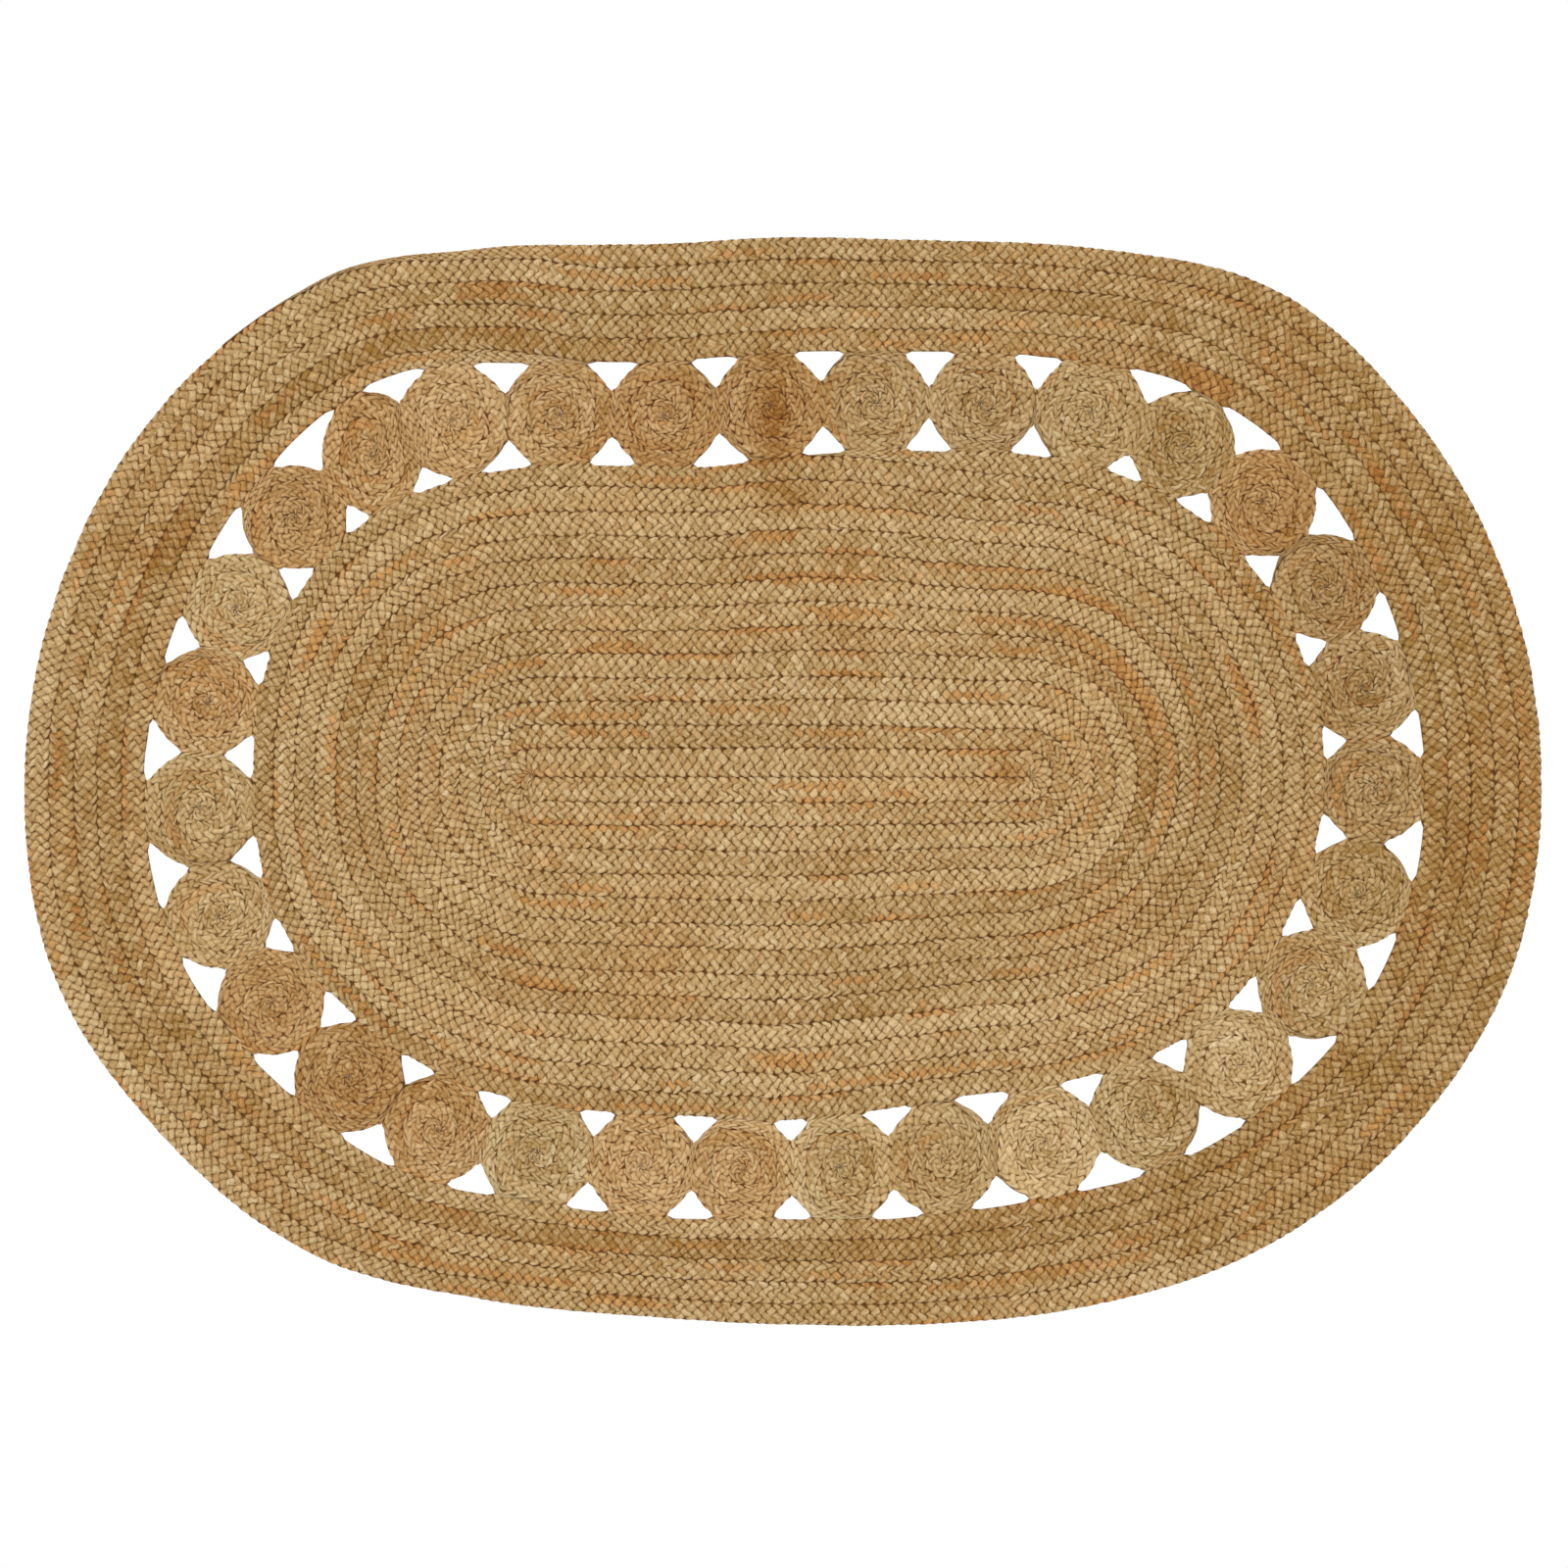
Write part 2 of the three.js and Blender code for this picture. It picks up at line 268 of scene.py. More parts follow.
# Settings of the painted shade in the crevices: how ragged it is, where lines and pits start, how much
# darker it is in hollows, and the pattern that makes it stronger or weaker
CREVICES = {"Raggedness": 1.3, "Line start": 0.72, "Pit start": 1.30}
CREVICE_POWER = 1.5
CHANCE_PER_METRE = 200
CHANCE_GAIN = 5.0
CHANCE_SHIFT = -1.7
# Settings of the yarn's colour and roughness, with the painted highlight on crowns, the painted shade in
# hollows and how deep that shade is
YARN = {"Fibre contrast": 2.4, "Tone contrast": 1.1, "Crown light and shade": 0.25, "Hollow shade depth": 0.35}
CROWN_MIDDLE = 0.4
HOLLOW_POWER = 3.0
ROUGHNESS = 0.72
FIBRE_ROUGHNESS = 0.2
HOLLOW_ROUGHNESS = 0.15


# Curves

def smooth_step(t):
    """0 to 1 with level ends: 3t² - 2t³, with t held between 0 and 1."""
    t = np.clip(t, 0, 1)
    return t * t * (3 - 2 * t)


def underside_rim(node):
    """Corners of the loops that bound a node's flat underside: both ends of each edge that only one of
    its level triangles has."""
    mesh = frame["nodes"][node].data
    points = np.empty(len(mesh.vertices) * 3)
    mesh.vertices.foreach_get("co", points)
    corner = np.empty(len(mesh.loops), int)
    mesh.loops.foreach_get("vertex_index", corner)
    triangles = points.reshape(-1, 3)[corner.reshape(-1, 3)]
    level = triangles[triangles[:, :, 2].max(axis=1) < 10.0 ** -PLACE_DIGITS]
    places = np.round(level[:, :, :2].reshape(-1, 2), PLACE_DIGITS)
    places, index = np.unique(places, axis=0, return_inverse=True)
    index = index.reshape(-1, 3)
    edges = np.sort(np.concatenate((index[:, [0, 1]], index[:, [1, 2]], index[:, [2, 0]])), axis=1)
    edges, uses = np.unique(edges, axis=0, return_counts=True)
    return places[np.unique(edges[uses == 1])]


def smooth_loop(corners, sides=16):
    """Closed curve through corners that stand round their middle. Each side is a cubic whose slope at a
    corner is half the way from the corner before it to the one after it."""
    offset = corners - corners.mean(axis=0)
    b = corners[np.argsort(np.arctan2(offset[:, 1], offset[:, 0]))]
    a, c, d = np.roll(b, 1, axis=0), np.roll(b, -1, axis=0), np.roll(b, -2, axis=0)
    f = np.linspace(0, 1, sides, endpoint=False)[:, None, None]
    curve = 0.5 * (2 * b + f * (c - a + f * (2 * a - 5 * b + 4 * c - d + f * (3 * b - a - 3 * c + d))))
    return curve.transpose(1, 0, 2).reshape(-1, 2)


def heading(bearing):
    """Unit vectors at bearings in radians."""
    return np.stack((np.cos(bearing), np.sin(bearing)), axis=1)


def meet(feet, directions, loop):
    """Where rays from inside a loop meet it, found by halving. The loop is read as a radius by bearing."""
    bearing = np.arctan2(loop[:, 1], loop[:, 0])
    order = np.argsort(bearing)
    radius = np.hypot(loop[:, 0], loop[:, 1])[order]
    near, far = np.zeros(len(feet)), np.ones(len(feet))
    for _ in range(HALVINGS):
        middle = (near + far) / 2
        x, y = (feet + directions * middle[:, None]).T
        inside = np.hypot(x, y) < np.interp(np.arctan2(y, x), bearing[order], radius, period=2 * np.pi)
        near, far = np.where(inside, middle, near), np.where(inside, far, middle)
    return feet + directions * near[:, None]


def stadium(turn):
    """Feet and directions of spokes round the first row, for shares of a turn: along its lower side to the
    right, round its right end, back along its upper side and round its left end, a quarter turn each."""
    quarter = np.floor(turn * 4)
    part = turn * 4 - quarter
    going_right = quarter == 0
    along = np.select([going_right, quarter == 1, quarter == 2], [part, 1, 1 - part], 0)
    feet = CORE_LEFT + (CORE_RIGHT - CORE_LEFT) * along[:, None]
    fan = np.select([quarter == 1, quarter == 3], [part, part], 0)
    start = np.select([quarter < 2], [-np.pi / 2], np.pi / 2)
    return feet, heading(start + np.pi * fan)


def creases(x, y):
    """Depth of the packing creases: over each line a bell curve of the distance to it."""
    depth = np.zeros_like(x)
    for crease in CREASES:
        (x0, y0), (x1, y1) = crease["start"], crease["end"]
        along = ((x - x0) * (x1 - x0) + (y - y0) * (y1 - y0)) / ((x1 - x0) ** 2 + (y1 - y0) ** 2)
        along = np.clip(along, 0, 1)
        away = np.hypot(x - x0 - along * (x1 - x0), y - y0 - along * (y1 - y0)) / CREASE_HALF_WIDTH
        depth += crease["depth"] * np.exp(-away * away)
    return depth


def wander(place, spacing, random, tracks=1):
    """Smooth random numbers along each of several tracks: drawn at even spacing from a normal curve, and
    joined by smooth steps. Returns a function of place and track."""
    drawn = random.normal(size=(tracks, int(np.ceil(place / spacing)) + 4))

    def at(along, track=0):
        knot = np.maximum(along / spacing + 1, 0)
        whole = np.minimum(knot.astype(int), drawn.shape[1] - 2)
        part = smooth_step(knot - whole)
        return drawn[track, whole] * (1 - part) + drawn[track, whole + 1] * part

    return at


# Coils of braid

class Coil:
    """A flat braid laid round and round, between an inner and an outer curve.

    A place on it is a number of turns from its start. The curves are given at even shares of a turn.
    It steps out by its own width in each turn: evenly in the share called drift, and for the rest in
    the last part of the turn, the step zone. The drift of the first turn is given apart. At both ends
    the braid runs out to a tongue. Pressed says how firmly the two curves touch something, 0 to 1.
    """

    def __init__(
        self, braid, inner, outer, pressed, darker, seed,
        whole_turns, end, first_drift, drift, step_zone, tail_zone, tongue,
    ):
        self.braid = braid
        self.inner = inner
        self.outer = outer
        self.pressed = pressed
        self.whole_turns = whole_turns
        self.end = end
        self.is_ring = bool(np.hypot(*(inner.max(axis=0) - inner.min(axis=0))) > RING_LENGTH)
        self.first_drift = first_drift
        self.drift = drift
        self.step_zone = step_zone
        self.tail_zone = tail_zone
        self.darker = darker
        self.random = np.random.default_rng(seed)
        turns = whole_turns + 4
        self.sway = wander(turns, SPACING["sway"], self.random)
        mean_round = MEAN_ROUND * np.hypot(*(outer - np.roll(outer, 1, axis=0)).T).sum()
        self.wiggle = wander(turns, SPACING["wiggle"] / mean_round, self.random)
        self.measure(-tongue, whole_turns + end)
        self.by_petal = np.clip(self.random.normal(size=PETALS_DRAWN), -MOST_CHANCE, MOST_CHANCE)
        columns = braid["columns"]
        self.swell = self.along("swell")
        self.slide = self.along("slide", columns + 2)
        self.strand_tone = self.along("strand_tone", columns + 1)
        self.strand_rust = self.along("strand_rust", columns + 1)
        self.round_tone = self.along("round_tone")
        self.ring_tone = wander(turns, SPACING["ring_tone"], self.random)
        self.ruffle = self.along("ruffle")
        self.run_rust = self.along("run_rust", columns)
        self.run_pale = self.along("run_pale", columns)

    def along(self, chance, tracks=1):
        """A chance that wanders along the whole braid."""
        return wander(self.length, SPACING[chance], self.random, tracks)

    def stepped(self, part, drift):
        """Share of the step outwards that is made at a share of the turn: the drift evenly, and the rest
        by a smooth step over the step zone at the turn's end."""
        late = smooth_step((part - 1 + self.step_zone) / self.step_zone)
        return drift * part + (1 - drift) * late

    def seam(self, place):
        """Rounds inside the inner edge of the braid at a place, with a slight sway once it has left the
        inner curve."""
        whole = np.floor(place)
        drift = np.where(whole < 1, self.first_drift, self.drift)
        rounds = whole + self.stepped(place - whole, drift)
        rounds = rounds + (SWAY * self.sway(place) + WIGGLE * self.wiggle(place)) * smooth_step(rounds)
        return np.where(place < 0, 0, rounds)

    def across(self, place):
        """Rounds from the inner to the outer curve at the turn of a place, falling by one at the tail, by
        a smooth step over the tail zone."""
        part = place - np.floor(place)
        tail = 1 - smooth_step((part - self.end + self.tail_zone) / self.tail_zone)
        return self.whole_turns + self.stepped(part, self.drift) + tail

    def point(self, place, side):
        """X and Y at a side of the braid, from -1 on its inner edge to 1 on its outer edge, and the
        braid's width there as a share of a round. Sides are shares of the way between two seams."""
        rim = self.across(place)
        low = np.minimum(self.seam(place), rim)
        at_rim = place + 1 >= self.whole_turns + self.end
        high = np.clip(np.where(at_rim, rim, self.seam(place + 1)), low, rim)
        share = (low + (high - low) * (1 + side) / 2) / rim
        turn = np.linspace(0, 1, len(self.inner), endpoint=False)
        near, far = (
            np.stack([np.interp(place, turn, curve[:, axis], period=1) for axis in (0, 1)])
            for curve in (self.inner, self.outer)
        )
        return near + (far - near) * share, high - low

    def freedom(self, place, side):
        """1 on an edge that nothing is sewn to, falling to 0 where it is pressed against something."""
        outside = (side == 1) & (place + 1 >= self.whole_turns + self.end)
        inside = (side == -1) & (place < INNER_EDGE_END) & self.is_ring
        turn = np.linspace(0, 1, len(self.inner), endpoint=False)
        in_pressed, out_pressed = (np.interp(place, turn, share, period=1) for share in self.pressed)
        return np.where(outside, 1 - out_pressed, np.where(inside, 1 - in_pressed, 0))

    def measure(self, first, last):
        """Finds the places that stand a half step apart along the braid."""
        place = np.linspace(first, last, int(GAUGE_SAMPLES * (last - first)) + 1)
        x, y = self.point(place, GAUGE_SIDE)[0]
        length = np.concatenate(([0], np.cumsum(np.hypot(np.diff(x), np.diff(y)))))
        self.length = length[-1]
        self.half_steps = 2 * self.braid["rows"] * round(self.length / self.braid["pitch"])
        self.places = np.interp(np.linspace(0, self.length, self.half_steps + 1), length, place)

    def place_at(self, step):
        """Places at half steps, which may be parts, and go on evenly past both ends."""
        inside = np.interp(step, np.arange(self.half_steps + 1), self.places)
        before, after = np.minimum(step, 0), np.maximum(step - self.half_steps, 0)
        first, last = self.places[1] - self.places[0], self.places[-1] - self.places[-2]
        return inside + before * first + after * last


def owner(step, row, braid):
    """The petal that each spot of the lattice belongs to: its strip of rising strands, its strip of falling
    strands and its column. The strips are bands of step - row and step + row, one pitch apart. At an
    edge a petal also keeps the strand that turns into it."""
    rows, columns = braid["rows"], braid["columns"]
    step = step + LATTICE_START
    rising = np.floor((step - row + rows) / (2 * rows)).astype(int)
    falling = np.floor((step + row) / (2 * rows)).astype(int)
    column = falling - rising
    falling = np.where(column < 0, falling + 1, falling)
    rising = np.where(column >= columns, rising + 1, rising)
    return rising, falling, np.clip(column, 0, columns - 1)


def in_petal(step, row, petal, braid):
    """Place in a petal, -1 to 1 along its strand and -1 to 1 across it. Strands rise in even columns."""
    rows = braid["rows"]
    rising, falling, column = petal
    step = step + LATTICE_START
    on_falling = (step + row) / rows - 1 - 2 * falling
    on_rising = (step - row) / rows - 2 * rising
    rises = column % 2 == 0
    return np.where(rises, on_falling, on_rising), np.where(rises, on_rising, on_falling)


def relief(step, row, braid):
    """Height of the braid at a spot, 0 in a pit to 1 on a crown. A petal is a dome across its strand
    times an arch along it, both 1 less a power of the place in the petal, over a valley that falls to a
    pit at the petal's corners."""
    petal = owner(step, row, braid)
    along, across = in_petal(step, row, petal, braid)
    along, across = np.minimum(np.abs(along), 1), np.minimum(np.abs(across), 1)
    valley = (1 - (along * across) ** 2) * SADDLE
    return valley + (1 - valley) * (1 - across ** ACROSS_POWER) * (1 - along ** ALONG_POWER)


def petal_value(table, petal):
    """A fixed random number for each petal, read from a table by its two strips."""
    return table[(petal[0] * STRIDES[0] + petal[1] * STRIDES[1]) % len(table)]


def zip_rows(dense, sparse):
    """Triangles from a row of vertices to one that has every second of them."""
    left, middle, right = dense[:-1:2], dense[1::2], dense[2::2]
    return np.concatenate((
        np.stack((left, middle, sparse[:-1]), axis=1),
        np.stack((middle, sparse[1:], sparse[:-1]), axis=1),
        np.stack((middle, right, sparse[1:]), axis=1),
    ))


def skin(rows):
    """Outward triangles between neighbouring rows of vertices round a braid's section, and over its ends.
    The top rows alternate: an even row, then one whose vertices stand between those of the even row.
    The last four rows are the sides and the sole, and the last two vertices close the ends."""
    top, under = rows[:-4], rows[-4:]
    strips = []
    for number, (lower, upper) in enumerate(zip(top[:-1], top[1:])):
        even, odd = (upper, lower) if number % 2 else (lower, upper)
        pair = np.concatenate((
            np.stack((even[:-1], even[1:], odd[1:-1]), axis=1),
            np.stack((odd[:-1], even, odd[1:]), axis=1),
        ))
        strips.append(pair[:, ::-1] if number % 2 else pair)
    strips.append(zip_rows(top[-1], under[0]))
    strips.append(zip_rows(top[0], under[3])[:, ::-1])
    for lower, upper in zip(under[:-1], under[1:]):
        strips.append(np.stack((lower[:-1], lower[1:], upper[1:]), axis=1))
        strips.append(np.stack((lower[:-1], upper[1:], upper[:-1]), axis=1))
    first, last = np.array([row[0] for row in rows]), np.array([row[-1] for row in rows])
    hub = rows[-1][-1] + 1
    strips.append(np.stack((first, np.roll(first, -1), np.full(len(rows), hub)), axis=1))
    strips.append(np.stack((np.roll(last, -1), last, np.full(len(rows), hub + 1)), axis=1))
    return np.concatenate(strips)[:, ::-1]


def new_mesh(name, vertices, faces):
    """A smooth-shaded mesh of triangles from arrays of places and vertex numbers."""
    mesh = bpy.data.meshes.new(name)
    mesh.vertices.add(len(vertices))
    mesh.vertices.foreach_set("co", vertices.astype(np.float32).ravel())
    mesh.loops.add(faces.size)
    mesh.loops.foreach_set("vertex_index", faces.astype(np.int32).ravel())
    mesh.polygons.add(len(faces))
    mesh.polygons.foreach_set("loop_start", np.arange(0, faces.size, 3, dtype=np.int32))
    mesh.polygons.foreach_set("use_smooth", np.ones(len(faces), bool))
    mesh.update(calc_edges=True)
    return mesh


def lay(name, coil, first, last):
    """A piece of a coil, from one half step to another, as a closed skin. The vertices of its top rows
    stand alternately at even and odd half steps, so that the hollows between petals run along edges of
    the mesh. The rows of its sides and sole have every fourth half step. A top's height is the valley's,
    plus the relief's share of the way up to the crown, less the roll at the edges and the creases."""
    braid = coil.braid
    tops = braid["rows"] * braid["columns"] + 1
    even = np.arange(first, last + 1, 2)
    odd = np.concatenate(([first], np.arange(first + 1, last, 2), [last]))
    steps = [odd if row % 2 else even for row in range(tops)] + [np.arange(first, last + 1, 4)] * 4
    counts = [len(row) for row in steps]
    rows = np.split(np.arange(sum(counts)), np.cumsum(counts)[:-1])
    step = np.concatenate(steps)

    level = np.linspace(-1, 1, tops)
    turned = (1 - EDGE_TURN) * level + EDGE_TURN * np.sin(level * np.pi / 2)
    side = np.repeat(np.concatenate((turned, (1, 1 - SOLE_INSET, SOLE_INSET - 1, -1))), counts)
    row = np.repeat(np.concatenate((np.arange(tops), (tops - 1, tops - 2, 1, 0))), counts)
    on_top = np.repeat(np.arange(tops + 4) < tops, counts)
    shift = np.clip(SHIFT * coil.random.normal(size=(2, len(step))), -MOST_SHIFT, MOST_SHIFT)
    shift = shift * braid["rows"] * (on_top & (row > 0) & (row < tops - 1))
    metres = step * coil.length / coil.half_steps
    column, share = row // braid["rows"], row % braid["rows"] / braid["rows"]
    slide = coil.slide(metres, column) * (1 - share) + coil.slide(metres, column + 1) * share
    lean = braid["lean"] * np.abs(row % (2 * braid["rows"]) - braid["rows"])
    place = coil.place_at(step - lean + SLIDE * slide + shift[0])
    side = np.clip(side + shift[1] * 2 / (tops - 1), -1, 1)

    petal = owner(step, row, braid)
    across = in_petal(step, row, petal, braid)[1]
    free = coil.freedom(place, side)
    ruffle = np.clip(0.5 + 0.5 * coil.ruffle(metres), 0, 1)
    scallop = free * (SCALLOP * across ** 2 + RUFFLE * ruffle)
    width = coil.point(place, 0)[1]
    sink = braid["sink"] / np.maximum(width * braid["width"] / 2, braid["sink"] * 3)
    sunk = (1 - free) * np.where(on_top, sink, 2 * sink)
    x, y = coil.point(place, side * (1 + sunk) * (1 - scallop))[0]

    height = relief(step, row, braid)
    swell = coil.swell(metres)
    narrow = np.clip(width / FULL_WIDTH, LEAST_DEPTH, 1)
    lift = LIFT * petal_value(coil.by_petal, petal)
    valley = CROWN - (CROWN - braid["pit"]) * (1 + PIT_CHANCE * swell) * narrow
    roll = np.sqrt(1 - np.abs(side) ** ROLL_POWER)
    top = valley + (CROWN - valley + lift) * height - (CROWN - EDGE) * (1 - roll)
    top = top + LIFT * swell - creases(x, y)
    under = np.repeat(np.array([0] * tops + [FLANK, 0, 0, FLANK]), counts)
    vertices = np.stack((x, y, np.where(on_top, top, under)), axis=1)
    ends = [vertices[[row[end] for row in rows]].mean(axis=0) for end in (0, -1)]
    # How hollow each top lies, more so along the seams: the material paints shade in crevices and hollows by
    # it
    seam = SEAM * np.clip(1 - SEAM_CHANGE * coil.round_tone(metres), 0, 2)
    hollow = np.where(on_top, 1 - height * (1 - seam * (1 - roll)), 0.5)

    faces = skin(rows)
    step, row = np.append(step, (first, last)), np.append(row, (tops // 2, tops // 2))
    mesh = new_mesh(name, np.concatenate((vertices, ends)), faces)
    hollow_layer = mesh.attributes.new("hollow", "FLOAT", "POINT")
    hollow_layer.data.foreach_set("value", np.append(hollow, (1, 1)).astype(np.float32))
    spot = vertices[:, :2][np.minimum(faces, len(x) - 1)].mean(axis=1)
    dress(mesh, coil, step[faces], row[faces], spot)
    piece = bpy.data.objects.new(name, mesh)
    bpy.context.scene.collection.objects.link(piece)
    return piece


def dress(mesh, coil, step, row, spot):
    """Gives each corner of each triangle its strand, petal and yarn. The strand map holds metres along and
    across the strand, moved on by a chance length for each petal, and the petal map the place in the
    petal. The yarn holds its tone, rust and paleness, each 0 to 1: chance runs along the strand, the
    column and the round, waves over the rug, and the petal. Its tone also holds the uneven places, a
    darkening towards the rug's right end, and painted shade in the creases."""
    braid, columns = coil.braid, coil.braid["columns"]
    middle_step = step.mean(axis=1, keepdims=True)
    petal = owner(middle_step, row.mean(axis=1, keepdims=True), braid)
    along, across = in_petal(step, row, petal, braid)
    petal_map = np.stack((along, across), axis=2)
    chance = petal_value(coil.by_petal, petal)
    strand_map = np.stack((
        along * STRAND_HALF_LENGTH + chance,
        across * STRAND_HALF_WIDTH + chance * MOVED_ACROSS,
    ), axis=2)
    rising, falling, column = petal
    strand = np.where(column % 2 == 0, rising, falling - columns) % (columns + 1)
    metres = middle_step * coil.length / coil.half_steps
    x, y = spot[:, :1], spot[:, 1:]
    # Uneven places, and painted shade in the creases
    spot_tone, spot_rust = uneven(x, y)
    tone = (
        TONE["middle"]
        - coil.darker
        - RIGHT_END_DARKER * smooth_step((x - RIGHT_END) / RIGHT_END_EASE)
        + spot_tone
        + TONE["ring"] * coil.ring_tone(coil.place_at(middle_step) + 1)
        + TONE["round"] * coil.round_tone(metres)
        + TONE["strand"] * coil.strand_tone(metres, strand)
        + TONE["petal"] * chance
        + TONE["waves"] * waves(x, y, 0)
    )
    rust = (
        RUST["middle"]
        + RUST["run"] * smooth_step((coil.run_rust(metres, column) - RUST_START) / RUST_EASE)
        + RUST["strand"] * coil.strand_rust(metres, strand)
    )
    rust = braid["rusty"] * rust + spot_rust + RUST["waves"] * waves(x, y, 1)
    pale = PALE["middle"] + PALE["run"] * coil.run_pale(metres, column) + PALE["waves"] * waves(x, y, 2)
    yarn = np.stack([np.clip(np.broadcast_to(v, step.shape), 0, 1) for v in (tone, rust, pale)], axis=2)
    yarn = np.concatenate((yarn, np.ones(yarn.shape[:2] + (1,))), axis=2)
    for name, coordinates in (("strand", strand_map), ("petal", petal_map)):
        layer = mesh.uv_layers.new(name=name)
        layer.uv.foreach_set("vector", coordinates.astype(np.float32).ravel())
    colours = mesh.color_attributes.new("yarn", "FLOAT_COLOR", "CORNER")
    colours.data.foreach_set("color", yarn.astype(np.float32).ravel())


def uneven(x, y):
    """Tone and rust of the uneven places, with painted shade in the creases: over each a bell curve of the
    distance to its middle.
    """
    tone, rust = -CREASE_SHADE * creases(x, y), np.zeros_like(x)
    for spot in SPOTS:
        (middle_x, middle_y), (reach_x, reach_y) = spot["middle"], spot["reach"]
        here = np.exp(-((x - middle_x) / reach_x) ** 2 - ((y - middle_y) / reach_y) ** 2)
        tone = tone + spot["tone"] * here
        rust = rust + spot["rust"] * here
    return tone, rust


def waves(x, y, kind):
    """A broad uneven pattern over the rug, about -1 to 1: the sum of a few plane waves of chance length,
    direction and start, over the root of half their number."""
    random = np.random.default_rng(WAVE_SEED + kind)
    total = np.zeros_like(x)
    for _ in range(WAVES):
        bearing, start = random.uniform(0, 2 * np.pi, 2)
        pace = 2 * np.pi / random.uniform(*WAVE_LENGTHS)
        total = total + np.sin(pace * (x * np.cos(bearing) + y * np.sin(bearing)) + start)
    return total * np.sqrt(2 / WAVES)


def plan_area(piece):
    """Area of the floor that a piece covers: the sum of its upward faces as seen from above."""
    mesh = piece.data
    points = np.empty(len(mesh.vertices) * 3, np.float32)
    mesh.vertices.foreach_get("co", points)
    corner = np.empty(len(mesh.loops), int)
    mesh.loops.foreach_get("vertex_index", corner)
    a, b, c = points.reshape(-1, 3)[corner.reshape(-1, 3)].transpose(1, 0, 2)[:, :, :2]
    turned = (b - a)[:, 0] * (c - a)[:, 1] - (b - a)[:, 1] * (c - a)[:, 0]
    return float(turned[turned > 0].sum() / 2)


# Materials

def linear(colour):
    """A colour in sRGB steps of 255 as the linear light that Blender mixes."""
    share = np.array(colour) / 255
    return (*np.where(share <= 0.04045, share / 12.92, ((share + 0.055) / 1.055) ** 2.4), 1)


def socket(group, name, kind, way):
    """A named input or output of a node group."""
    group.interface.new_socket(name=name, in_out=way, socket_type="NodeSocket" + kind)


def math(nodes, links, operation, *values):
    """A Math node of the values, which are numbers or sockets."""
    node = nodes.new("ShaderNodeMath")
    node.operation = operation
    for slot, value in zip(node.inputs, values):
        if isinstance(value, (int, float)):
            slot.default_value = value
        else:
            links.new(value, slot)
    return node.outputs[0]


def mix(nodes, links, share, a, b, blend="MIX"):
    """A colour mix of a and b, which are sockets."""
    node = nodes.new("ShaderNodeMix")
    node.data_type = "RGBA"
    node.blend_type = blend
    for slot, value in ((0, share), (6, a), (7, b)):
        if isinstance(value, (int, float)):
            node.inputs[slot].default_value = value
        else:
            links.new(value, node.inputs[slot])
    return node.outputs[2]


def fibre_group():
    """Fine fibres along a strand: noise on the strand map, drawn out lengthwise, at two sizes."""
    group = bpy.data.node_groups.new("Jute fibres", "ShaderNodeTree")
    nodes, links = group.nodes, group.links
    socket(group, "Strand", "Vector", "INPUT")
    socket(group, "Fibres per metre", "Float", "INPUT")
    socket(group, "Fibre", "Float", "OUTPUT")
    start, end = nodes.new("NodeGroupInput"), nodes.new("NodeGroupOutput")
    fibre = 0.0
    for kind in FIBRES:
        stretch = nodes.new("ShaderNodeVectorMath")
        stretch.operation = "MULTIPLY"
        stretch.inputs[1].default_value = (kind["along"] * kind["pace"], kind["pace"], kind["pace"])
        links.new(start.outputs["Strand"], stretch.inputs[0])
        noise = nodes.new("ShaderNodeTexNoise")
        noise.inputs["Detail"].default_value = 2.0
        links.new(stretch.outputs[0], noise.inputs["Vector"])
        links.new(start.outputs["Fibres per metre"], noise.inputs["Scale"])
        fibre = math(nodes, links, "MULTIPLY_ADD", noise.outputs["Fac"], kind["share"], fibre)
    links.new(fibre, end.inputs["Fibre"])
    return group


